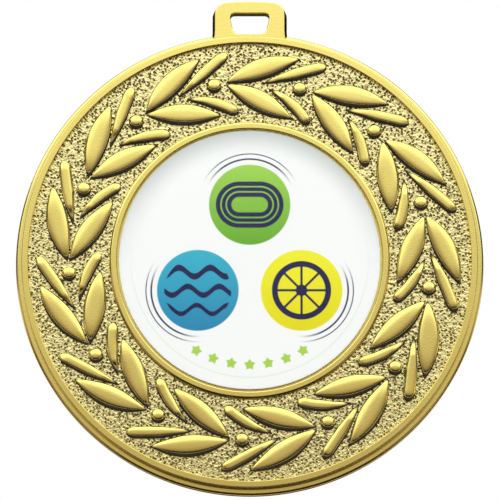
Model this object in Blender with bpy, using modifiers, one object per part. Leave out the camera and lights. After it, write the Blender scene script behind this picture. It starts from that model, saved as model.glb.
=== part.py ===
"""Cast finisher medal with a wreath in relief, a ribbon loop and a domed printed centre.

Units are metres.  Everything is drawn lying down, face up, with the centre of the disc's back
at the drawing's origin and the loop towards +Y.  An empty then stands the drawing up: the face
looks along -Y, +Z runs from the disc to the loop, and the world's origin is the middle of the
slot's upper wall, where the ribbon bears.
"""
import math

import bmesh
import bpy
from mathutils import Matrix, Vector

MM = 0.001

# Disc
BODY_RADIUS = 22.5 * MM
BODY_THICKNESS = 3.0 * MM
LEDGE_WIDTH = 0.7 * MM          # outer step, seen round the rim
LEDGE_THICKNESS = 1.2 * MM
RIM_WIDTH = 0.6 * MM
FIELD_DEPTH = 0.7 * MM          # stippled ground below the rim
WALL_DRAFT = 0.08 * MM          # how far each cast wall leans out of the die
BACK_RIM_WIDTH = 1.6 * MM
BACK_DEPTH = 0.5 * MM
EDGE_RADIUS = 0.12 * MM

# Ring and recess for the centre
RECESS_RADIUS = 12.7 * MM
RECESS_DEPTH = 0.55 * MM        # below the top of the ring
RING_WIDTH = 0.75 * MM
RING_HEIGHT = 0.6 * MM          # above the field

# Domed centre
CENTRE_GAP = 0.2 * MM           # between the centre and the recess's wall
LAYER_GAP = 0.03 * MM           # between two glued layers
PAD_MARGIN = 0.4 * MM
PAD_THICKNESS = 0.25 * MM
FILM_THICKNESS = 0.15 * MM
DOME_EDGE = 0.35 * MM
DOME_HEIGHT = 1.5 * MM

# Wreath
CLUSTER_COUNT = 13
FIRST_BERRY = math.radians(16.2)
BERRY_RADIUS = 0.66 * MM
RELIEF = 0.5 * MM
LEAF_SINK = 0.15                # share of the relief that a leaf's widest line lies under the field
TIP_MARGIN = 0.9 * MM           # from a leaf's tip to the rim or the ring
BROAD_LEAF_WIDTH = 2.1 * MM
SLENDER_LEAF_WIDTH = 0.9 * MM

# Ribbon loop
LOOP_WIDTH = 7.25 * MM
LOOP_THICKNESS = 1.4 * MM
LOOP_SET_BACK = 0.25 * MM       # front of the loop below the field
LOOP_DRAFT = 0.2 * MM
LOOP_CORNER = 1.1 * MM
LOOP_CROWN = 0.25 * MM          # how far the top edge rises at its middle
BAR_HEIGHT = 1.15 * MM
FOOT_FILLET = 0.4 * MM
SLOT_WIDTH = 4.0 * MM
SLOT_TAPER = 0.45 * MM          # each side, at the slot's lower end
SLOT_HEIGHT = 1.8 * MM
SLOT_FLOOR = 0.05 * MM          # above the disc's edge
SLOT_CORNER = 0.5 * MM

TURN_STEPS = 80                 # facets round a turned piece
EDGE_STEPS = 2                  # facets round an edge of a turned profile
OUTLINE_STEPS = 5               # facets round a corner of the loop
DOME_STEPS = 9

# Heights above the disc's back
FIELD_Z = BODY_THICKNESS - FIELD_DEPTH
RING_Z = FIELD_Z + RING_HEIGHT
RECESS_Z = RING_Z - RECESS_DEPTH
PAD_Z = RECESS_Z + LAYER_GAP
FILM_Z = PAD_Z + PAD_THICKNESS + LAYER_GAP
DOME_Z = FILM_Z + FILM_THICKNESS + LAYER_GAP
LOOP_FRONT_Z = FIELD_Z - LOOP_SET_BACK
LOOP_BACK_Z = LOOP_FRONT_Z - LOOP_THICKNESS

# Distances from the disc's axis
RIM_OUTER = BODY_RADIUS - LEDGE_WIDTH
RIM_INNER = RIM_OUTER - RIM_WIDTH
RING_OUTER = RECESS_RADIUS + RING_WIDTH
CENTRE_RADIUS = RECESS_RADIUS - CENTRE_GAP
BERRY_CIRCLE = (RIM_INNER + RING_OUTER) / 2
SLOT_LOW = BODY_RADIUS + SLOT_FLOOR
SLOT_TOP = SLOT_LOW + SLOT_HEIGHT
LOOP_TOP = SLOT_TOP + BAR_HEIGHT


def empty_the_scene():
    for item in list(bpy.data.objects):
        bpy.data.objects.remove(item, do_unlink=True)


def new_collection(name):
    collection = bpy.data.collections.new(name)
    bpy.context.scene.collection.children.link(collection)
    return collection


def new_material(name, colour, metallic, roughness, alpha=1.0):
    material = bpy.data.materials.new(name)
    material.use_nodes = True
    shader = material.node_tree.nodes["Principled BSDF"]
    shader.inputs["Base Color"].default_value = (*colour, 1.0)
    shader.inputs["Metallic"].default_value = metallic
    shader.inputs["Roughness"].default_value = roughness
    shader.inputs["Alpha"].default_value = alpha
    return material


def add_object(name, data, collection, stand):
    item = bpy.data.objects.new(name, data)
    collection.objects.link(item)
    item.parent = stand
    return item


def round_corners(corners, steps):
    """Points along an outline whose corners (x, y, radius) are rounded with arcs."""
    points = []
    for index, (x, y, radius) in enumerate(corners):
        corner = Vector((x, y))
        if radius == 0 or index in (0, len(corners) - 1):
            points.append(corner)
            continue
        back = (Vector(corners[index - 1][:2]) - corner).normalized()
        ahead = (Vector(corners[index + 1][:2]) - corner).normalized()
        half_angle = back.angle(ahead) / 2
        centre = corner + (back + ahead).normalized() * radius / math.sin(half_angle)
        start = corner + back * radius / math.tan(half_angle) - centre
        turn = math.pi - 2 * half_angle
        if back.x * ahead.y - back.y * ahead.x > 0:
            turn = -turn
        for step in range(steps + 1):
            points.append(centre + Matrix.Rotation(turn * step / steps, 2) @ start)
    return points


def turned_piece(name, profile, collection, stand):
    """Solid of revolution about the disc's axis from (radius, height) points, top to bottom."""
    mesh = bpy.data.meshes.new(name)
    vertices = [(point[0], 0, point[1]) for point in profile]
    mesh.from_pydata(vertices, [(i, i + 1) for i in range(len(vertices) - 1)], [])
    item = add_object(name, mesh, collection, stand)
    screw = item.modifiers.new("turn", "SCREW")
    screw.axis = "Z"
    screw.steps = screw.render_steps = TURN_STEPS
    screw.use_merge_vertices = True
    screw.merge_threshold = 1e-6
    return item


def body_profile():
    edge = EDGE_RADIUS
    ring_edge = RING_WIDTH * 0.4
    return round_corners([
        (0, RECESS_Z, 0),
        (RECESS_RADIUS, RECESS_Z, 0),
        (RECESS_RADIUS, RING_Z, ring_edge),
        (RING_OUTER - WALL_DRAFT, RING_Z, ring_edge),
        (RING_OUTER, FIELD_Z, 0),
        (RIM_INNER - WALL_DRAFT, FIELD_Z, 0),
        (RIM_INNER, BODY_THICKNESS, edge),
        (RIM_OUTER, BODY_THICKNESS, edge),
        (RIM_OUTER + WALL_DRAFT, LEDGE_THICKNESS, 0),
        (BODY_RADIUS, LEDGE_THICKNESS, edge),
        (BODY_RADIUS, 0, edge),
        (BODY_RADIUS - BACK_RIM_WIDTH, 0, edge),
        (BODY_RADIUS - BACK_RIM_WIDTH - WALL_DRAFT, BACK_DEPTH, 0),
        (0, BACK_DEPTH, 0),
    ], EDGE_STEPS)


def layer_profile(radius, low, thickness):
    return [(0, low + thickness), (radius, low + thickness), (radius, low), (0, low)]


def dome_profile():
    """Resin held by its own skin: a steep shoulder that flattens towards the middle."""
    rise = DOME_HEIGHT - DOME_EDGE
    points = [(0, DOME_Z + DOME_HEIGHT)]
    for step in range(1, DOME_STEPS + 1):
        angle = math.pi / 2 * (1 - step / DOME_STEPS)
        radius = CENTRE_RADIUS * math.cos(angle) ** 0.7
        points.append((radius, DOME_Z + DOME_EDGE + rise * math.sin(angle) ** 0.8))
    return points + [(CENTRE_RADIUS, DOME_Z), (0, DOME_Z)]


def polar(angle, radius):
    """Point in the drawing at a clockwise angle from the loop."""
    return Vector((radius * math.sin(angle), radius * math.cos(angle)))


def add_leaf(name, start, end, width, bow, collection, stand):
    """Ridged leaf from start to end, both (angle, radius): a sphere drawn out along its poles."""
    chord = (polar(*end) - polar(*start)).normalized()
    side = Vector((-chord.y, chord.x))
    form = bmesh.new()
    bmesh.ops.create_uvsphere(form, u_segments=4, v_segments=6, radius=1)
    for vertex in form.verts:
        along = (vertex.co.z + 1) / 2
        swell = math.hypot(vertex.co.x, vertex.co.y)
        spot = polar(start[0] + (end[0] - start[0]) * along, start[1] + (end[1] - start[1]) * along)
        spot += side * (vertex.co.x * width / 2 + bow * swell ** 2)
        vertex.co = (spot.x, spot.y, FIELD_Z + RELIEF * (vertex.co.y - LEAF_SINK * (1 - vertex.co.y)))
    bmesh.ops.recalc_face_normals(form, faces=form.faces)
    mesh = bpy.data.meshes.new(name)
    form.to_mesh(mesh)
    form.free()
    add_object(name, mesh, collection, stand)


def add_berry(name, angle, collection, stand):
    form = bmesh.new()
    bmesh.ops.create_uvsphere(form, u_segments=8, v_segments=4, radius=BERRY_RADIUS)
    bmesh.ops.scale(form, vec=(1, 1, RELIEF / BERRY_RADIUS), verts=form.verts)
    spot = polar(angle, BERRY_CIRCLE)
    bmesh.ops.translate(form, vec=(spot.x, spot.y, FIELD_Z), verts=form.verts)
    mesh = bpy.data.meshes.new(name)
    form.to_mesh(mesh)
    form.free()
    add_object(name, mesh, collection, stand)


def add_wreath(collection, stand):
    """Every cluster is a berry, a broad leaf to each side of it and a slender leaf beyond each."""
    pitch = 2 * math.pi / CLUSTER_COUNT
    outer_tip = RIM_INNER - TIP_MARGIN
    inner_tip = RING_OUTER + TIP_MARGIN
    split = BERRY_RADIUS * 0.5
    leaves = {
        "broad_outer": ((0.19, BERRY_CIRCLE + split), (0.86, outer_tip), BROAD_LEAF_WIDTH, 0.05 * MM),
        "broad_inner": ((0.19, BERRY_CIRCLE - split), (0.98, inner_tip), BROAD_LEAF_WIDTH, -0.05 * MM),
        "slender_outer": ((0.62, BERRY_CIRCLE), (1.17, outer_tip), SLENDER_LEAF_WIDTH, -0.1 * MM),
        "slender_inner": ((0.68, BERRY_CIRCLE - split), (1.22, inner_tip), SLENDER_LEAF_WIDTH, 0.1 * MM),
    }
    for index in range(CLUSTER_COUNT):
        angle = FIRST_BERRY + index * pitch
        add_berry(f"berry_{index + 1}", angle, collection, stand)
        for kind, (start, end, width, bow) in leaves.items():
            start = (angle + start[0] * pitch, start[1])
            end = (angle + end[0] * pitch, end[1])
            add_leaf(f"{kind}_{index + 1}", start, end, width, bow, collection, stand)


def loop_outline():
    """Outline of the loop, closed inside the disc's edge, where the casting swallows it."""
    half = LOOP_WIDTH / 2
    foot_half = half + 1.3 * FOOT_FILLET
    root = math.sqrt(RIM_INNER ** 2 - foot_half ** 2)
    shoulder = math.sqrt(BODY_RADIUS ** 2 - foot_half ** 2)
    left = [
        (-foot_half, root, 0),
        (-foot_half, shoulder, 0),
        (-half, shoulder, FOOT_FILLET),
        (-half, LOOP_TOP - LOOP_CROWN, LOOP_CORNER),
        (0, LOOP_TOP + LOOP_CROWN / 10, half),
    ]
    right = [(-x, y, radius) for x, y, radius in reversed(left[:-1])]
    return round_corners(left + right, OUTLINE_STEPS)


def slot_outline():
    half = SLOT_WIDTH / 2
    low_half = half - SLOT_TAPER
    corner = SLOT_CORNER
    return round_corners([
        (0, SLOT_LOW, 0),
        (low_half, SLOT_LOW, corner),
        (half, SLOT_TOP, corner),
        (-half, SLOT_TOP, corner),
        (-low_half, SLOT_LOW, corner),
        (0, SLOT_LOW, 0),
    ], OUTLINE_STEPS)[:-1]


def flat_outline_solid(name, outline, low, high, collection, stand):
    """Plate between two heights, from a filled 2D curve made into a mesh."""
    curve = bpy.data.curves.new(name, "CURVE")
    curve.dimensions = "2D"
    curve.fill_mode = "BOTH"
    curve.extrude = (high - low) / 2
    spline = curve.splines.new("POLY")
    spline.points.add(len(outline) - 1)
    for place, point in zip(spline.points, outline):
        place.co = (point[0], point[1], 0, 1)
    spline.use_cyclic_u = True
    drawn = add_object(name + "_outline", curve, collection, None)
    drawn.location.z = (low + high) / 2
    bpy.context.view_layer.update()
    evaluated = drawn.evaluated_get(bpy.context.evaluated_depsgraph_get())
    mesh = bpy.data.meshes.new_from_object(evaluated)
    mesh.transform(drawn.matrix_world)
    bpy.data.objects.remove(drawn, do_unlink=True)
    form = bmesh.new()
    form.from_mesh(mesh)
    bmesh.ops.remove_doubles(form, verts=form.verts, dist=1e-7)
    bmesh.ops.recalc_face_normals(form, faces=form.faces)
    form.to_mesh(mesh)
    form.free()
    mesh.name = name
    return add_object(name, mesh, collection, stand)


def lean_sides(loop):
    """The loop's outer sides widen towards the back, as a cast wall does."""
    for vertex in loop.data.vertices:
        if vertex.co.z < (LOOP_FRONT_Z + LOOP_BACK_Z) / 2 and abs(vertex.co.x) > SLOT_WIDTH / 2:
            vertex.co.x += math.copysign(LOOP_DRAFT, vertex.co.x)


def combine(body, operation, other=None, others=None):
    boolean = body.modifiers.new(operation.lower(), "BOOLEAN")
    boolean.operation = operation
    boolean.solver = "EXACT"
    if others:
        boolean.operand_type = "COLLECTION"
        boolean.collection = others
    else:
        boolean.object = other


def hide_tools(collection):
    for item in collection.objects:
        item.hide_render = True
        item.display_type = "WIRE"


def finish(item, material):
    item.data.materials.clear()
    item.data.materials.append(material)
    for polygon in item.data.polygons:
        polygon.use_smooth = True


def build():
    empty_the_scene()
    parts = new_collection("finisher_medal")
    tools = new_collection("tools")
    wreath = new_collection("wreath_tools")

    stand = bpy.data.objects.new("stand", None)
    parts.objects.link(stand)
    stand.rotation_euler = (math.pi / 2, 0, 0)
    stand.location = (0, (LOOP_FRONT_Z + LOOP_BACK_Z) / 2, -SLOT_TOP)

    gold = new_material("gold_plating", (0.83, 0.66, 0.25), 1.0, 0.3)
    foam = new_material("adhesive_foam", (0.85, 0.85, 0.82), 0.0, 0.8)
    film = new_material("printed_film", (0.92, 0.93, 0.93), 0.0, 0.5)
    resin = new_material("clear_resin", (0.95, 0.98, 0.97), 0.0, 0.05, alpha=0.3)

    body = turned_piece("medal_body", body_profile(), parts, stand)
    loop = flat_outline_solid("loop", loop_outline(), LOOP_BACK_Z, LOOP_FRONT_Z, tools, stand)
    lean_sides(loop)
    overrun = LOOP_THICKNESS
    slot = flat_outline_solid("slot", slot_outline(), LOOP_BACK_Z - overrun,
                              LOOP_FRONT_Z + overrun, tools, stand)
    add_wreath(wreath, stand)
    combine(body, "UNION", loop)
    combine(body, "DIFFERENCE", slot)
    combine(body, "UNION", others=wreath)
    finish(body, gold)

    pad_outline = layer_profile(CENTRE_RADIUS - PAD_MARGIN, PAD_Z, PAD_THICKNESS)
    finish(turned_piece("adhesive_pad", pad_outline, parts, stand), foam)
    film_outline = layer_profile(CENTRE_RADIUS, FILM_Z, FILM_THICKNESS)
    finish(turned_piece("printed_disc", film_outline, parts, stand), film)
    finish(turned_piece("clear_dome", dome_profile(), parts, stand), resin)

    hide_tools(tools)
    hide_tools(wreath)


build()
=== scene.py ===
import math

import bmesh
import bpy
from mathutils import Matrix, Vector


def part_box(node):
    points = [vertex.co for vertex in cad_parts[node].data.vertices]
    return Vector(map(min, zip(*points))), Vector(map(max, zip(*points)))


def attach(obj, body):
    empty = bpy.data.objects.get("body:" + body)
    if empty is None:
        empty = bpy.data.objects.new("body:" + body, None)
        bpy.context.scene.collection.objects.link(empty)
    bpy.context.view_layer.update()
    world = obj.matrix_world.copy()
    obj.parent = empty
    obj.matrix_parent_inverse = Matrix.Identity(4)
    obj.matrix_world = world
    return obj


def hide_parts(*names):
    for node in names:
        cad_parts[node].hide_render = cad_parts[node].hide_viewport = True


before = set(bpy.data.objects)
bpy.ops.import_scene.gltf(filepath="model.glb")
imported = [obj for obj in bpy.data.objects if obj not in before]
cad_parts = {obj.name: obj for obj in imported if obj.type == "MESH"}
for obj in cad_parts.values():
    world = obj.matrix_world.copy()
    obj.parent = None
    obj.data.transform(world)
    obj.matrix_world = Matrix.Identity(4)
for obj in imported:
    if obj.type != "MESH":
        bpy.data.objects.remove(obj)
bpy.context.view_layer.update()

# ------------------------------------------------------------------ cast disc
# The disc is one zinc-alloy casting, plated in bright lemon gold.  A stepped
# ledge runs round a narrow flat rim, and a rounded ring walls the recess for
# the domed centre.  The back has a wide rim round a shallow flat field.

mm = 0.001
body_low, body_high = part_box("medal_body")
disc_radius = (body_high.x - body_low.x) / 2
disc_middle = Vector((0, 0, body_low.z + disc_radius))
rim_front = body_low.y
disc_back = body_high.y

ledge_thickness = 1.2 * mm
ledge_width = 0.7 * mm
rim_width = 0.6 * mm
field_depth = 0.5 * mm
outer_draft = 0.13 * mm         # how far the rim's outer wall leans
wall_draft = 0.04 * mm
ring_outer = 13.45 * mm
ring_below_rim = 0.1 * mm
recess_radius = 12.7 * mm
recess_depth = 0.55 * mm
back_rim_width = 1.6 * mm
back_depth = 0.5 * mm
field_under = 0.12 * mm         # the channel's floor, under the stippled skin
near = 0.01 * mm                # how close counts as the same place
upright = (math.pi / 2, 0, 0)   # turns what is drawn flat to face the front

rim_outer = disc_radius - ledge_width
rim_inner = rim_outer - rim_width
field_front = rim_front + field_depth


class Shade:
    """A value in a material.  Arithmetic on it adds Math nodes."""

    def __init__(self, paint, socket):
        self.paint = paint
        self.socket = socket

    def __add__(self, other):
        return self.paint.maths("ADD", self, other)

    __radd__ = __add__

    def __sub__(self, other):
        return self.paint.maths("SUBTRACT", self, other)

    def __rsub__(self, other):
        return self.paint.maths("SUBTRACT", other, self)

    def __mul__(self, other):
        return self.paint.maths("MULTIPLY", self, other)

    __rmul__ = __mul__

    def __truediv__(self, other):
        return self.paint.maths("DIVIDE", self, other)

    def __pow__(self, other):
        return self.paint.maths("POWER", self, other)

    def __abs__(self):
        return self.paint.maths("ABSOLUTE", self)

    def below(self, edge, blur):
        """1 where the value is under edge, 0 where it is over, with a soft border."""
        return self.paint.node("ShaderNodeMapRange", {"interpolation_type": "SMOOTHSTEP"},
                               {"Value": self, "From Min": edge - blur, "From Max": edge + blur,
                                "To Min": 1.0, "To Max": 0.0})


class Paint:
    """The nodes of one finish.  All but its outlet come from node()."""

    def __init__(self, owner):
        self.owner = owner
        owner.use_nodes = True
        self.tree = owner.node_tree
        self.tree.nodes.clear()

    def node(self, kind, settings=None, inputs=None, output=0):
        made = self.tree.nodes.new(kind)
        for key, value in (settings or {}).items():
            if key == "stops":
                for index, (place, colour) in enumerate(value):
                    stops = made.color_ramp.elements
                    stop = stops[index] if index < 2 else stops.new(place)
                    stop.position = place
                    stop.color = (*colour, 1)
            else:
                setattr(made, key, value)
        for key, value in (inputs or {}).items():
            if isinstance(value, Shade):
                self.tree.links.new(value.socket, made.inputs[key])
            else:
                made.inputs[key].default_value = value
        return Shade(self, made.outputs[output])

    def maths(self, operation, *values):
        return self.node("ShaderNodeMath", {"operation": operation}, dict(enumerate(values)))

    def bearing(self, sideways, ahead):
        """Angle in degrees from straight ahead."""
        return self.maths("ARCTAN2", sideways, ahead) * (180 / math.pi)

    def place(self, scale, centre=(0, 0, 0)):
        """Position on the piece, measured from centre and multiplied by scale."""
        shift = tuple(-value * scale for value in centre)
        return self.node("ShaderNodeMapping", {}, {
            "Vector": self.node("ShaderNodeTexCoord", output=3),
            "Scale": (scale, scale, scale), "Location": shift})

    def split(self, vector):
        """The three numbers of a vector."""
        parted = self.node("ShaderNodeSeparateXYZ", {}, {0: vector})
        return [Shade(self, outlet) for outlet in parted.socket.node.outputs]

    def blend(self, share, first, second):
        """Mix two colours: all first at 0, all second at 1."""
        return self.node("ShaderNodeMix", {"data_type": "RGBA"}, {0: share, 6: first, 7: second}, output=2)

    def finish(self, shader, kind="ShaderNodeOutputMaterial"):
        """Lead the shader to the outlet."""
        outlet = self.tree.nodes.new(kind)
        self.tree.links.new(shader.socket, outlet.inputs["Surface"])
        return self.owner


def deselect_all():
    if bpy.context.object and bpy.context.object.mode != "OBJECT":
        bpy.ops.object.mode_set(mode="OBJECT")
    bpy.ops.object.select_all(action="DESELECT")


def started(name):
    """Name the primitive that was just added, apply its place and go into edit mode."""
    piece = bpy.context.object
    piece.name = piece.data.name = name
    bpy.ops.object.transform_apply()
    bpy.ops.object.mode_set(mode="EDIT")
    return piece


def pick(piece, kind, wanted):
    """In edit mode, select only the vertices, edges or faces that wanted accepts."""
    bpy.ops.mesh.select_mode(type=kind)
    bpy.ops.mesh.select_all(action="DESELECT")
    form = bmesh.from_edit_mesh(piece.data)
    elements = {"VERT": form.verts, "EDGE": form.edges, "FACE": form.faces}[kind]
    for element in elements:
        if wanted(element):
            element.select_set(True)
    bmesh.update_edit_mesh(piece.data)


def pull(offset):
    """Extrude what is selected."""
    bpy.ops.mesh.extrude_region_move(TRANSFORM_OT_translate={"value": offset})


def raise_crown(centre, profile):
    """Extrude the front face in hand forwards through profile, rows of (height, share of its width)."""
    level, size = 0.0, 1.0
    for next_level, next_size in profile:
        pull((0, level - next_level, 0))
        bpy.ops.transform.resize(value=(next_size / size, 1, next_size / size), center_override=centre)
        level, size = next_level, next_size
    return level


def settled(piece, material, angle, flats=False):
    """Leave edit mode, shade the piece, and hang it on the medal's one body."""
    bpy.ops.object.mode_set(mode="OBJECT")
    bpy.ops.object.shade_smooth_by_angle(angle=math.radians(angle))
    if flats:
        # The modifier weighs faces by area and takes tiny ones for none, so it sees them in millimetres.
        piece.data.transform(Matrix.Scale(1 / mm, 4))
        even = piece.modifiers.new("flats", "WEIGHTED_NORMAL")
        even.weight = 90
        even.keep_sharp = True
        bpy.ops.object.modifier_apply(modifier="flats")
        piece.data.transform(Matrix.Scale(mm, 4))
    piece.data.materials.clear()
    piece.data.materials.append(material)
    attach(piece, "root")


def gold_finish(name, shine, crevice=None):
    """Bright lemon-gold plating, with painted shade, dark, dull and rough, below a crevice's (lip,
    softness).
    """
    paint = Paint(bpy.data.materials.new(name))
    spot = paint.place(1 / mm, disc_middle)
    cloud = paint.node("ShaderNodeTexNoise", {}, {"Vector": spot, "Scale": 0.35, "Detail": 3.0})
    skin = paint.node("ShaderNodeTexNoise", {}, {"Vector": spot, "Scale": 9.0, "Detail": 2.0})
    colour = paint.blend(cloud.below(0.5, 0.25), (1.0, 0.85, 0.245, 1), (0.99, 0.83, 0.23, 1))
    rough = shine + 0.08 * skin
    bright = 1.0
    if crevice:
        lip, soft = crevice
        lee_climb = 0.26        # millimetres that the painted shade climbs further on sides that face down
        lee_side = paint.node("ShaderNodeAttribute", {"attribute_name": "lee_side"}, output=2)
        shade_climb = lee_climb * (1 - lee_side.below(0.25, 0.17))
        # Painted shade: the relief goes dark, dull and rough near the ground, and further up on its sides
        # that face down.
        bright = paint.split(spot)[1].below(lip / mm - shade_climb, soft / mm)
        colour = paint.blend(bright, (0.03, 0.018, 0.008, 1), colour)
        rough = rough + 0.5 * (1 - bright)
    bump = paint.node("ShaderNodeBump", {}, {"Strength": 1.0, "Distance": 0.004 * mm, "Height": skin})
    shader = paint.node("ShaderNodeBsdfPrincipled", {}, {
        "Base Color": colour, "Metallic": bright, "Roughness": rough, "Normal": bump})
    return paint.finish(shader)


gold_smooth = gold_finish("gold_plating_smooth", 0.12)


def step(edge_in, rise, lean):
    """Inset the face in hand, extrude it and lean its wall."""
    bpy.ops.mesh.inset(thickness=edge_in)
    pull((0, rise, 0))
    bpy.ops.transform.resize(value=(lean, 1, lean), center_override=disc_middle)


def on_circle(radius, depth):
    """Test for an edge that lies on a circle about the disc's axis."""
    def test(edge):
        return all(abs((vertex.co - disc_middle).xz.length - radius) < 2 * near
                   and abs(vertex.co.y - depth) < 2 * near for vertex in edge.verts)
    return test


deselect_all()
bpy.ops.mesh.primitive_cylinder_add(
    vertices=256, radius=disc_radius, depth=ledge_thickness, rotation=upright,
    location=disc_middle + Vector((0, disc_back - ledge_thickness / 2, 0)))
cast_disc = started("cast_disc")
ledge_front = disc_back - ledge_thickness
ring_front = rim_front + ring_below_rim
channel = field_front + field_under

pick(cast_disc, "FACE", lambda face: face.normal.y < -0.9)
step(ledge_width - outer_draft, rim_front - ledge_front, rim_outer / (rim_outer + outer_draft))
step(rim_width, channel - rim_front, (rim_inner - wall_draft) / rim_inner)
step(rim_inner - wall_draft - ring_outer, ring_front - channel, (ring_outer - wall_draft) / ring_outer)
step(ring_outer - wall_draft - recess_radius, recess_depth, 1)
pick(cast_disc, "FACE", lambda face: face.normal.y > 0.9 and len(face.verts) > 4)
back_field = disc_radius - back_rim_width
step(back_rim_width, -back_depth, (back_field - wall_draft) / back_field)

edge_rounding = [
    # radius, depth, width, segments
    (disc_radius, disc_back, 0.2 * mm, 3),
    (disc_radius, ledge_front, 0.28 * mm, 6),
    (rim_outer, rim_front, 0.07 * mm, 3),
    (rim_inner, rim_front, 0.06 * mm, 3),
    (ring_outer - wall_draft, ring_front, 0.24 * mm, 6),
    (recess_radius, ring_front, 0.12 * mm, 4),
    (back_field, disc_back, 0.15 * mm, 3),
    (back_field - wall_draft, disc_back - back_depth, 0.12 * mm, 3),
]
for radius, depth, width, segments in edge_rounding:
    pick(cast_disc, "EDGE", on_circle(radius, depth))
    bpy.ops.mesh.bevel(offset=width, segments=segments, affect="EDGES")
settled(cast_disc, gold_smooth, angle=60, flats=True)
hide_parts("medal_body")

# ------------------------------------------------------------ stippled ground
# Between the rim and the ring the casting's ground is stippled by the die, a
# grain of about a quarter of a millimetre, so that the bright relief stands
# out from it.  It is modelled as a thin closed skin on the casting, with real
# grains.

ground_inner = ring_outer - 0.06 * mm
ground_outer = rim_inner - 0.02 * mm
ground_width = ground_outer - ground_inner
ground_rings = 78
ground_spokes = 1060
grain = 0.27 * mm
grain_relief = 0.035 * mm
skin_thickness = 0.1 * mm


def stipple_finish():
    """Gold over the stipple: small punched pits, with painted shade that makes their bottoms dull dark
    brown.
    """
    paint = Paint(bpy.data.materials.new("gold_plating_stippled"))
    spot = paint.place(1 / mm, disc_middle)
    pits = paint.node("ShaderNodeTexVoronoi", {}, {"Vector": spot, "Scale": 3.7})
    fine = paint.node("ShaderNodeTexNoise", {}, {"Vector": spot, "Scale": 5.5, "Detail": 3.0})
    depth = pits + 0.5 * fine
    pit = depth.below(0.56, 0.17)
    # Painted shade: the pits' bottoms are dark brown, less metallic and rougher.
    colour = paint.blend(pit, (1.0, 0.91, 0.41, 1), (0.15, 0.09, 0.03, 1))
    bump = paint.node("ShaderNodeBump", {"invert": True}, {
        "Strength": 1.0, "Distance": 0.12 * mm, "Height": pit + 0.4 * fine})
    shader = paint.node("ShaderNodeBsdfPrincipled", {}, {
        "Base Color": colour, "Metallic": 1 - 0.5 * pit, "Roughness": 0.2 + 0.25 * pit, "Normal": bump})
    return paint.finish(shader)


deselect_all()
bpy.ops.mesh.primitive_plane_add(
    size=ground_width, rotation=upright,
    location=((ground_inner + ground_outer) / 2, field_front, disc_middle.z - ground_width / 2))
stippled_ground = started("stippled_ground")
pick(stippled_ground, "VERT", lambda vertex: vertex.co.z < disc_middle.z - ground_width / 2)
bpy.ops.mesh.delete(type="VERT")
bpy.ops.mesh.select_all(action="SELECT")
bpy.ops.mesh.subdivide(number_cuts=ground_rings - 1)
bpy.ops.mesh.select_all(action="SELECT")
bpy.ops.mesh.spin(steps=ground_spokes, angle=2 * math.pi, center=disc_middle, axis=(0, 1, 0))
bpy.ops.mesh.select_all(action="SELECT")
bpy.ops.mesh.remove_doubles(threshold=0.002 * mm)
bpy.ops.object.mode_set(mode="OBJECT")
grains = bpy.data.textures.new("casting_grains", "VORONOI")
grains.noise_scale = grain
grains.distance_metric = "DISTANCE"
stipple = stippled_ground.modifiers.new("stipple", "DISPLACE")
stipple.texture = grains
stipple.texture_coords = "LOCAL"
stipple.direction = "Y"
stipple.mid_level = 0.5
stipple.strength = -grain_relief
bpy.ops.object.modifier_apply(modifier="stipple")
bpy.ops.object.mode_set(mode="EDIT")
pick(stippled_ground, "EDGE", lambda edge: edge.is_boundary)
pull((0, skin_thickness, 0))
bpy.ops.transform.resize(value=(1, 0, 1), center_override=(0, field_front + skin_thickness, 0))
bpy.ops.mesh.bridge_edge_loops()
bpy.ops.mesh.select_all(action="SELECT")
bpy.ops.mesh.normals_make_consistent(inside=False)
settled(stippled_ground, stipple_finish(), angle=60)
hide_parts("medal_body")

# --------------------------------------------------------------------- wreath
# The wreath is cast with the disc: sprays of four smooth leaves, two broad
# and two slender, with a berry between them, all pointing clockwise.  Their
# tops are polished pillows and their sides drop steeply to the stippled ground.

spray_count = 13
spray_pitch = 2 * math.pi / spray_count
first_berry = math.radians(16.2)
berry_circle = (rim_inner + ring_outer) / 2
berry_radius = 0.7 * mm
berry_rise = 0.38 * mm
berry_steps = 8
berry_flat = 0.6                # of a step, left flat at the berry's top
relief = 0.46 * mm
wall_share = 0.3                # of the relief, that a leaf's edge stands straight up
leaf_root = 0.3 * mm            # how deep the walls go into the ground
least_width = 0.03              # shares of its width and height that a leaf keeps at its ends
least_height = 0.25


def around(angle, radius):
    """Point on the ground at a clockwise angle from the loop, seen from the front."""
    return disc_middle + Vector((radius * math.sin(angle), field_front, radius * math.cos(angle)))


def on_pitch(share, radius):
    """Point on the ground at a share of the way from the first berry to the next."""
    return around(first_berry + share * spray_pitch, radius)


def lens(along):
    """A broad leaf's width and height along its length, from -1 at its base to 1 at its tip."""
    return 1 - along * along, max(0, 1 - abs(along) ** 5) ** 0.5


def strip(along):
    """A slender leaf's: pointed at its base, of even width, with a blunt round tip."""
    tip_share = 0.16            # of the leaf's length
    done = max(0, along + 1) / 2
    tip = max(0, (done - (1 - tip_share)) / tip_share)
    width = min(1, done / 0.5) ** 0.7 * max(0, 1 - tip * tip) ** 0.5
    height = min(1, 0.3 + 2.5 * done) * (1 - 0.5 * tip ** 3)
    return width, height


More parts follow.
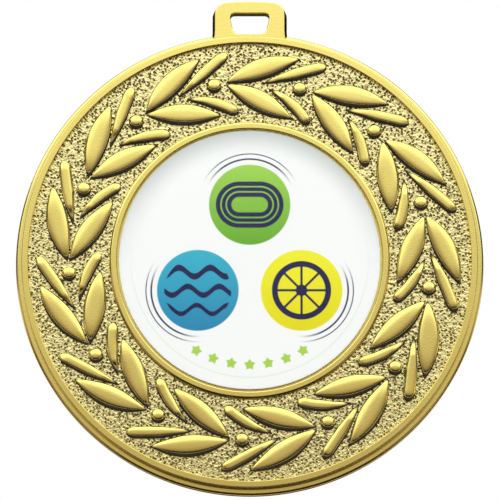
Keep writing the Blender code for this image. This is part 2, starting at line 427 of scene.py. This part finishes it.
def model_leaf(name, start, end, width, bow, outline):
    """A pillow-topped leaf from start to end, each (share of the pitch, radius), shaped from a grid."""
    columns, rows = 34, 14
    base, tip = on_pitch(*start), on_pitch(*end)
    length = (tip - base).length
    deselect_all()
    bpy.ops.mesh.primitive_grid_add(x_subdivisions=columns, y_subdivisions=rows, size=1)
    bpy.context.object.scale = (length, width, 1)
    leaf = started(name)
    for row in range(rows + 1):
        even = 2 * row / rows - 1
        across = math.sin(even * math.pi / 2)
        crown = wall_share + (1 - wall_share) * max(0, 1 - abs(across) ** 4) ** 0.5
        pick(leaf, "VERT", lambda vertex: abs(vertex.co.y - even * width / 2) < 0.01 * width
             and vertex.co.z == 0)
        bpy.ops.transform.translate(value=(0, (across - even) * width / 2, relief * crown))
    for column in range(columns + 1):
        even = 2 * column / columns - 1
        along = math.sin(even * math.pi / 2)
        narrow, swell = outline(along)
        pick(leaf, "VERT", lambda vertex: abs(vertex.co.x - even * length / 2) < 0.002 * length
             and not vertex.hide)
        bpy.ops.transform.resize(value=(1, max(narrow, least_width), max(swell, least_height)),
                                 center_override=(0, 0, 0))
        bpy.ops.transform.translate(value=((along - even) * length / 2, 0, 0))
        bpy.ops.mesh.hide()
    bpy.ops.mesh.reveal()
    pick(leaf, "EDGE", lambda edge: edge.is_boundary)
    pull((0, 0, -leaf_root - wall_share * relief))
    bpy.ops.transform.resize(value=(1.01, 1.05, 1), center_override=(0, 0, 0))
    bpy.ops.mesh.edge_face_add()
    bpy.ops.mesh.select_all(action="SELECT")
    bpy.ops.mesh.normals_make_consistent(inside=False)
    bpy.ops.object.mode_set(mode="OBJECT")
    if bow:
        bend = leaf.modifiers.new("bow", "SIMPLE_DEFORM")
        bend.deform_method = "BEND"
        bend.deform_axis = "Z"
        bend.angle = -8 * bow / length
        bpy.ops.object.modifier_apply(modifier="bow")
        ends = [vertex.co.y for vertex in leaf.data.vertices if abs(vertex.co.x) > 0.46 * length]
        leaf.data.transform(Matrix.Translation((0, -sum(ends) / len(ends), 0)))
    ahead = (tip - base).normalized()
    out = Vector((0, -1, 0))
    turn = Matrix((ahead, out.cross(ahead), out)).transposed().to_4x4()
    leaf.matrix_world = Matrix.Translation((base + tip) / 2) @ turn
    bpy.ops.object.transform_apply()
    return leaf


def model_berry(angle):
    """A round button: a short wall that rolls over to a flat-topped crown."""
    deselect_all()
    spot = around(angle, berry_circle)
    wall = leaf_root + wall_share * relief
    bpy.ops.mesh.primitive_cylinder_add(
        vertices=32, radius=berry_radius, depth=wall, rotation=upright,
        location=spot + Vector((0, leaf_root - wall / 2, 0)))
    berry = started("berry")
    pick(berry, "FACE", lambda face: face.normal.y < -0.9)
    profile = []
    for index in range(1, berry_steps + 1):
        size = math.cos(index / (berry_steps + berry_flat) * math.pi / 2)
        profile.append((berry_rise * (1 - size ** 3) ** 0.5, size))
    raise_crown(spot, profile)
    bpy.ops.object.mode_set(mode="OBJECT")
    return berry


tip_margin = 0.9 * mm
outer_tip = rim_inner - tip_margin
inner_tip = ring_outer + tip_margin
# Painted shade on the relief: below this depth, near the ground, it is painted dark.
painted_shade_lip = field_front - 0.26 * mm
painted_shade_blur = 0.06 * mm
gold_relief = gold_finish("gold_plating_relief", 0.12, (painted_shade_lip, painted_shade_blur))
spray_leaves = [
    # name, start, end, width, bow, outline
    ("broad_outer", (0.14, berry_circle + 0.1 * mm), (0.92, outer_tip - 0.05 * mm),
     2.1 * mm, 0.24 * mm, lens),
    ("broad_inner", (0.14, berry_circle - 0.05 * mm), (1.02, inner_tip - 0.05 * mm),
     2.1 * mm, 0.08 * mm, lens),
    ("slender_outer", (0.57, berry_circle - 0.05 * mm), (1.19, outer_tip),
     1.15 * mm, 0.06 * mm, strip),
    ("slender_inner", (0.65, berry_circle - 0.5 * mm), (1.26, inner_tip),
     1.1 * mm, 0.35 * mm, strip),
]
spray_pieces = [model_berry(first_berry)] + [model_leaf(*row) for row in spray_leaves]
deselect_all()
for piece in spray_pieces:
    piece.select_set(True)
bpy.context.view_layer.objects.active = spray_pieces[0]
bpy.ops.object.join()
spray = bpy.context.object
axis_turn = (Matrix.Translation(disc_middle) @ Matrix.Rotation(spray_pitch, 4, "Y")
             @ Matrix.Translation(-disc_middle))

# Painted shade on the relief's lower sides: lee_side holds how far each spot faces down.
spray.data.attributes.new("lee_side", "FLOAT", "POINT")
for index in range(spray_count):
    if index:
        deselect_all()
        previous = spray
        spray = previous.copy()
        spray.data = previous.data.copy()
        spray.data.transform(axis_turn)
        bpy.context.scene.collection.objects.link(spray)
    deselect_all()
    spray.select_set(True)
    bpy.context.view_layer.objects.active = spray
    spray.name = spray.data.name = f"wreath_spray_{index + 1}"
    bpy.ops.object.mode_set(mode="EDIT")
    settled(spray, gold_relief, angle=40)
    for vertex, mark in zip(spray.data.vertices, spray.data.attributes["lee_side"].data):
        mark.value = -vertex.normal.z
    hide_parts("medal_body")

# ---------------------------------------------------------------- ribbon loop
# The loop that a ribbon or a jump ring goes through is cast in one with the
# disc.  It is a flat plate with a crowned top, soft corners and sides that
# lean out towards the back, pierced by a slot that narrows towards the disc.

loop_top = body_high.z
slot_top = 0.0                  # the ribbon bears here, at the frame's origin
slot_low = disc_middle.z + disc_radius - 0.22 * mm
loop_half = 3.4 * mm
slot_half = 2.0 * mm
slot_taper = 0.45 * mm
loop_thickness = 1.4 * mm
loop_draft = 0.24 * mm
loop_front = -loop_thickness / 2
crown_rise = 0.25 * mm
foot_flare = 0.4 * mm
foot_spread = 0.8               # how far out a foot flares, as a share of how high
foot_steps = 6
crown_cuts = 8                  # each side of the middle
crown_cut_gap = 0.24 * mm
crown_low = 0.4 * mm            # only the top edge and its corners lie above this
soft_edge = 0.08 * mm
root_low = disc_middle.z + rim_inner - 0.6 * mm
loop_height = loop_top - crown_rise - root_low


def cut(piece, spot, normal, wanted):
    """Cut across the faces that wanted accepts, leaving both sides."""
    pick(piece, "FACE", wanted)
    bpy.ops.mesh.bisect(plane_co=spot, plane_no=normal)


def in_middle(face):
    """A face in the strip between the slot's sides."""
    return abs(face.calc_center_median().x) < slot_half / 2


deselect_all()
bpy.ops.mesh.primitive_plane_add(
    size=loop_height, rotation=upright,
    location=(0, loop_front, root_low + loop_height / 2))
ribbon_loop = started("ribbon_loop")
bpy.ops.transform.resize(value=(2 * loop_half / loop_height, 1, 1), center_override=(0, 0, 0))
for side in (-slot_half, slot_half):
    cut(ribbon_loop, (side, 0, 0), (1, 0, 0), lambda face: True)
for level in (slot_low, slot_top):
    cut(ribbon_loop, (0, 0, level), (0, 0, 1), in_middle)
pick(ribbon_loop, "FACE", lambda face: in_middle(face)
     and slot_low < face.calc_center_median().z < slot_top)
bpy.ops.mesh.delete(type="FACE")
pick(ribbon_loop, "VERT", lambda vertex: abs(abs(vertex.co.x) - slot_half) < near
     and abs(vertex.co.z - slot_low) < near)
bpy.ops.transform.resize(value=((slot_half - slot_taper) / slot_half, 1, 1), center_override=(0, 0, 0))
cut(ribbon_loop, (0, 0, 0), (1, 0, 0), lambda face: True)
pick(ribbon_loop, "EDGE", lambda edge: not edge.is_boundary and abs(edge.verts[0].co.x) > slot_half / 2)
bpy.ops.mesh.dissolve_edges(use_verts=False)
bpy.ops.mesh.select_all(action="SELECT")
pull((0, loop_thickness, 0))
bpy.ops.mesh.select_all(action="SELECT")
bpy.ops.mesh.normals_make_consistent(inside=False)


def crosswise(x, z):
    """Test for an edge that runs through the loop from front to back at (+-x, z)."""
    def test(edge):
        return all(abs(abs(vertex.co.x) - x) < 2 * near and abs(vertex.co.z - z) < 2 * near
                   for vertex in edge.verts)
    return test


loop_corners = [
    # x, z, width, segments
    (loop_half, loop_top - crown_rise, 1.1 * mm, 8),
    (slot_half, slot_top, 0.55 * mm, 6),
    (slot_half - slot_taper, slot_low, 0.5 * mm, 5),
]
for x, z, width, segments in loop_corners:
    pick(ribbon_loop, "EDGE", crosswise(x, z))
    bpy.ops.mesh.bevel(offset=width, segments=segments, affect="EDGES")

# The top edge is arched, and the feet flare into the disc's edge.
for index in range(-crown_cuts, crown_cuts + 1):
    cut(ribbon_loop, (index * crown_cut_gap, 0, 0), (1, 0, 0), lambda face: True)
top_places = {round(vertex.co.x, 7) for vertex in bmesh.from_edit_mesh(ribbon_loop.data).verts
              if vertex.co.z > crown_low}
for place in sorted(top_places):
    pick(ribbon_loop, "VERT", lambda vertex: vertex.co.z > crown_low and round(vertex.co.x, 7) == place)
    bpy.ops.transform.translate(value=(0, 0, crown_rise * (1 - (place / loop_half) ** 2)))
foot_low = disc_middle.z + math.sqrt(disc_radius ** 2 - loop_half ** 2) - 0.05 * mm
for index in range(foot_steps + 1):
    drop = index / foot_steps * foot_flare
    level = foot_low + foot_flare - drop
    flare = foot_flare * (1 - math.sqrt(1 - (drop / foot_flare) ** 2))
    cut(ribbon_loop, (0, 0, level), (0, 0, 1), lambda face: True)
    pick(ribbon_loop, "VERT", lambda vertex: abs(abs(vertex.co.x) - loop_half) < near
         and abs(vertex.co.z - level) < near)
    wider = (loop_half + foot_spread * flare) / loop_half
    bpy.ops.transform.resize(value=(wider, 1, 1), center_override=(0, 0, 0))
pick(ribbon_loop, "VERT", lambda vertex: abs(abs(vertex.co.x) - loop_half) < near
     and vertex.co.z < foot_low - near)
bpy.ops.transform.resize(value=(wider, 1, 1), center_override=(0, 0, 0))

# Its outer sides lean out towards the back, and the edges of its two faces are softened.
for sign in (-1, 1):
    pick(ribbon_loop, "VERT", lambda vertex: vertex.co.y > 0 and vertex.co.x * sign > slot_half + 0.1 * mm)
    bpy.ops.transform.translate(value=(sign * loop_draft, 0, 0))


def at_face(edge):
    """An edge round the loop's front or back face."""
    return (len({round(vertex.co.y, 6) for vertex in edge.verts}) == 1 and len(edge.link_faces) == 2
            and sum(abs(face.normal.y) > 0.9 for face in edge.link_faces) == 1)


pick(ribbon_loop, "EDGE", at_face)
bpy.ops.mesh.bevel(offset=soft_edge, segments=3, affect="EDGES")
settled(ribbon_loop, gold_smooth, angle=60, flats=True)
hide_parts("medal_body")

# --------------------------------------------------------------- adhesive pad
# A disc of white self-adhesive foam holds the centre in its recess.  Only its
# edge can be seen, deep in the gap inside the ring.


def foam_finish():
    paint = Paint(bpy.data.materials.new("white_adhesive_foam"))
    spot = paint.place(1 / mm, disc_middle)
    cells = paint.node("ShaderNodeTexVoronoi", {}, {"Vector": spot, "Scale": 9.0})
    colour = paint.blend(cells.below(0.4, 0.3), (0.86, 0.85, 0.80, 1), (0.70, 0.69, 0.63, 1))
    bump = paint.node("ShaderNodeBump", {"invert": True}, {
        "Strength": 0.6, "Distance": 0.03 * mm, "Height": cells})
    shader = paint.node("ShaderNodeBsdfPrincipled", {}, {
        "Base Color": colour, "Roughness": 0.75 + 0.15 * cells, "Normal": bump})
    return paint.finish(shader)


def repaint(node, material):
    """Give a CAD node's object its finish."""
    for slot in bpy.data.objects[node].material_slots:
        slot.material = material


repaint("adhesive_pad", foam_finish())

# --------------------------------------------------------------- printed disc
# White film printed in bright inks, stuck to the underside of the dome.  The
# emblem is three coloured discs, each with a navy sign of its sport, over a
# row of small stars.


def printed_finish():
    paint = Paint(bpy.data.materials.new("printed_white_film"))
    across, _, up = paint.split(paint.place(1 / mm, disc_middle))

    def root_of_squares(x, z):
        return (x * x + z * z) ** 0.5

    def distance(x, z):
        """How far a point of the print is from (x, z), in millimetres."""
        return root_of_squares(across - x, up - z)

    def line(far, middle, width):
        """A line where far is near its middle value."""
        return abs(far - middle).below(width / 2, 0.045)

    def bearing(x, z):
        """Clockwise angle from straight up, in degrees, about (x, z)."""
        return paint.bearing(across - x, up - z)

    # White film, with the ring's soft shade along its upper edge.
    from_middle = distance(0, 0)
    shade = (1 - from_middle.below(11.7, 1.9)) * (1 - up.below(4.0, 7.0))
    colour = paint.blend(shade, (0.955, 0.96, 0.955, 1), (0.50, 0.54, 0.52, 1))

    # Three discs, each shaded a little lighter upwards.
    ink_radius = 3.9
    high_z = 5.3
    low_z = -3.0
    side_x = 4.95
    discs = [
        # x, z, the way it faces, dark ink, light ink
        (0, high_z, 0, (0.13, 0.42, 0.015), (0.36, 0.68, 0.07)),
        (-side_x, low_z, -120, (0.012, 0.24, 0.46), (0.03, 0.46, 0.62)),
        (side_x, low_z, 120, (0.80, 0.72, 0.0), (0.93, 0.88, 0.02)),
    ]
    for x, z, _, dark, light in discs:
        ink = paint.blend((up - z + ink_radius) / (2 * ink_radius), (*dark, 1), (*light, 1))
        colour = paint.blend(distance(x, z).below(ink_radius, 0.06), colour, ink)

    # Running lanes on the green disc: an oval track seen from above.
    straight = abs(across) - 1.0
    straight = straight * (1 - straight.below(0.0, 0.001))
    lane = root_of_squares(straight, up - high_z)
    track = lane.below(2.25, 0.05) * (1 - lane.below(0.75, 0.05))
    gaps = line(lane, 1.25, 0.14) + line(lane, 1.75, 0.14)
    signs = track * (1 - gaps)

    # Waves on the blue disc.
    for drop, size in ((-0.9, 1.0), (-2.7, 0.9), (-4.5, 0.75)):
        swell = paint.maths("SINE", (across + side_x) * 2.1 + drop)
        wave = line(up - 0.42 * swell, drop - 0.35, 0.62 * size)
        signs = signs + wave * distance(-side_x, low_z).below(3.2, 0.06)

    # A spoked wheel on the yellow disc.
    spokes = 8
    hub = distance(side_x, low_z)
    fold = paint.maths("PINGPONG", bearing(side_x, low_z) + 360, 180 / spokes)
    spoke = (hub * fold * (math.pi / 180)).below(0.11, 0.05) * hub.below(2.4, 0.05)
    signs = signs + line(hub, 2.55, 0.55) + hub.below(0.55, 0.05) + spoke

    # Fine arcs outside each disc.
    for x, z, facing, _, _ in discs:
        turned = abs(paint.maths("WRAP", bearing(x, z) - facing, 180.0, -180.0))
        taper = turned.below(50, 18)
        rings = line(distance(x, z), 4.45, 0.16) + line(distance(x, z), 4.95, 0.1)
        signs = signs + rings * taper
    colour = paint.blend(paint.node("ShaderNodeClamp", {}, {0: signs}), colour, (0.003, 0.005, 0.075, 1))

    # A row of small stars along the lower edge, and outside it a painted pale highlight of the dome's edge,
    # in the lower part only.
    star_count = 7
    star_pitch = 10.0           # degrees
    star_circle = 10.15
    point_half = 180 / 5        # degrees from a star's point to its notch
    below = paint.bearing(across, -1.0 * up)
    nearest = paint.maths("ROUND", below / star_pitch)
    sideways = from_middle * ((below - nearest * star_pitch) * (math.pi / 180))
    outward = star_circle - from_middle
    fold = paint.maths("PINGPONG", paint.bearing(sideways, outward) + 360, point_half) * (math.pi / 180)
    slant = root_of_squares(sideways, outward) * paint.maths("COSINE", fold - math.radians(90 - point_half))
    star = slant.below(0.33, 0.05) * abs(nearest).below(star_count / 2, 0.1)
    colour = paint.blend(star, colour, (0.42, 0.68, 0.07, 1))
    # Painted highlight: a faint pale green ring just inside the dome's edge, fading out upwards.
    painted_edge_highlight = line(from_middle, 11.35, 0.12) * up.below(-1.0, 5.0)
    colour = paint.blend(0.45 * painted_edge_highlight, colour, (0.62, 0.80, 0.55, 1))
    shader = paint.node("ShaderNodeBsdfPrincipled", {}, {
        "Base Color": colour, "Roughness": 0.5, "Specular IOR Level": 0.1})
    return paint.finish(shader)


repaint("printed_disc", printed_finish())

# ----------------------------------------------------------------- resin dome
# A drop of clear resin, poured on the print and held by its own skin: steep at
# its edge and flatter towards the middle, with a wet gloss.

dome_low, dome_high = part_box("clear_dome")
dome_back = dome_high.y
dome_front = dome_low.y
dome_radius = recess_radius - 0.2 * mm
dome_edge = 0.35 * mm
dome_steps = 22


def resin_finish():
    paint = Paint(bpy.data.materials.new("clear_resin"))
    facing = paint.node("ShaderNodeLayerWeight", {}, {"Blend": 0.5}, output=1)
    tint = paint.blend(facing ** 2, (1.0, 1.0, 1.0, 1), (0.86, 0.91, 0.88, 1))
    clear = paint.node("ShaderNodeBsdfTransparent", {}, {"Color": tint})
    gloss = paint.node("ShaderNodeBsdfGlossy", {}, {"Color": (1, 1, 1, 1), "Roughness": 0.03})
    mirror = 0.022 + 0.9 * facing ** 5
    return paint.finish(paint.node("ShaderNodeMixShader", {}, {0: mirror, 1: clear, 2: gloss}))


deselect_all()
bpy.ops.mesh.primitive_cylinder_add(
    vertices=192, radius=dome_radius, depth=dome_edge, rotation=upright,
    location=disc_middle + Vector((0, dome_back - dome_edge / 2, 0)))
resin_dome = started("resin_dome")
pick(resin_dome, "FACE", lambda face: face.normal.y < -0.9)
rise = dome_back - dome_edge - dome_front
dome_profile = []
for index in range(1, dome_steps):
    angle = math.pi / 2 * index / dome_steps
    dome_profile.append((rise * math.sin(angle) ** 0.8, math.cos(angle) ** 0.7))
level = raise_crown(disc_middle, dome_profile)
bpy.ops.mesh.poke()
pick(resin_dome, "VERT", lambda vertex: (vertex.co - disc_middle).xz.length < near)
bpy.ops.transform.translate(value=(0, level - rise, 0))
settled(resin_dome, resin_finish(), angle=60)
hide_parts("clear_dome")

# --------------------------------------------------------------------- studio
# The medal stands over a pale floor, and all light comes from the background:
# even light for matt surfaces, and for glossy ones a bright front and back
# with darker cards, which give the plating its dark outlines.

floor_drop = 75 * mm
deselect_all()
bpy.ops.mesh.primitive_plane_add(size=6, location=disc_middle - Vector((0, 0, floor_drop)))
floor = bpy.context.object
floor.name = "studio_floor"
bpy.ops.object.transform_apply()
paper = Paint(bpy.data.materials.new("pale_floor"))
floor.data.materials.append(paper.finish(paper.node("ShaderNodeBsdfPrincipled", {}, {
    "Base Color": (0.9, 0.9, 0.89, 1), "Roughness": 0.8})))
floor.visible_glossy = False

camera_distance = 267.3 * mm
camera_tilt = math.radians(9.15)
camera_data = bpy.data.cameras.new("camera")
camera_data.lens = 201.1
camera_data.sensor_width = 36
camera_data.clip_start = 0.01
camera = bpy.data.objects.new("camera", camera_data)
bpy.context.scene.collection.objects.link(camera)
aim = disc_middle + Vector((0.03 * mm, rim_front + 0.3 * mm, 0.91 * mm))
camera.location = aim + camera_distance * Vector((0, -math.cos(camera_tilt), -math.sin(camera_tilt)))
camera.rotation_euler = (math.pi / 2 + camera_tilt, 0, 0)
bpy.context.scene.camera = camera

world = bpy.data.worlds.new("studio")
bpy.context.scene.world = world
sky = Paint(world)
ahead_x, ahead_y, ahead_z = sky.split(sky.node("ShaderNodeTexCoord"))
elevation = sky.maths("ARCSINE", ahead_z) * (180 / math.pi)
azimuth = abs(sky.bearing(ahead_x, -1.0 * ahead_y))


def between(value, low, high, blur):
    """1 between two values and 0 outside them, with soft borders."""
    return value.below(high, blur) * (1 - value.below(low, blur))


# The front is dark below and brightens upwards, with two fills at each side.
levels = [(-12, 0.02), (-9, 0.04), (-6, 0.3), (3, 0.42), (9, 0.66), (14, 1.02), (24, 1.5), (90, 1.6)]
brightest = 1.6
stops = [((angle + 90) / 180, (level / brightest,) * 3) for angle, level in levels]
front = sky.node("ShaderNodeValToRGB", {"stops": stops}, {0: (elevation + 90) / 180}) * brightest
from_low_fill = ((azimuth - 45) * (azimuth - 45) + (elevation + 25) * (elevation + 25)) ** 0.5
side_fill = between(azimuth, 72, 108, 6) * between(elevation, -11, 2, 2)
front = front + 0.55 * from_low_fill.below(12, 4) + 0.5 * side_fill

# The back brightens upwards too, round a card straight behind.
back_card = between(azimuth, 150, 190, 5) * between(elevation, -60, 60, 4)
behind = sky.node("ShaderNodeMapRange", {}, {
    "Value": elevation, "From Min": -30.0, "From Max": 30.0, "To Min": 0.7, "To Max": 1.5})
behind = behind * (1 - 0.95 * back_card)

# Two more cards, from the sides round to the back, darken what lies above the horizon.
side_cards = (1 - azimuth.below(54, 7)) * between(elevation, 3, 28, 3)
top_card = (1 - azimuth.below(104, 8)) * between(elevation, 12, 62, 6)
in_front = azimuth.below(112, 6)
glossy_glow = in_front * front + (1 - in_front) * behind
glossy_glow = glossy_glow * (1 - 0.9 * side_cards) * (1 - 0.9 * top_card)
is_camera = sky.node("ShaderNodeLightPath")
ray_kinds = is_camera.socket.node.outputs
is_glossy = Shade(sky, ray_kinds["Is Glossy Ray"])
is_diffuse = Shade(sky, ray_kinds["Is Diffuse Ray"])
strength = is_camera + is_glossy * glossy_glow + is_diffuse * 1.15

# Glossy surfaces reflect a slightly warmer light from below.
warmth = is_glossy * elevation.below(6, 6)
glow = sky.blend(warmth, (1, 1, 1, 1), (1.0, 0.79, 0.72, 1))
sky.finish(sky.node("ShaderNodeBackground", {}, {"Color": glow, "Strength": strength}),
           "ShaderNodeOutputWorld")
world.cycles.sampling_method = "NONE"
bpy.context.scene.view_settings.view_transform = "Standard"
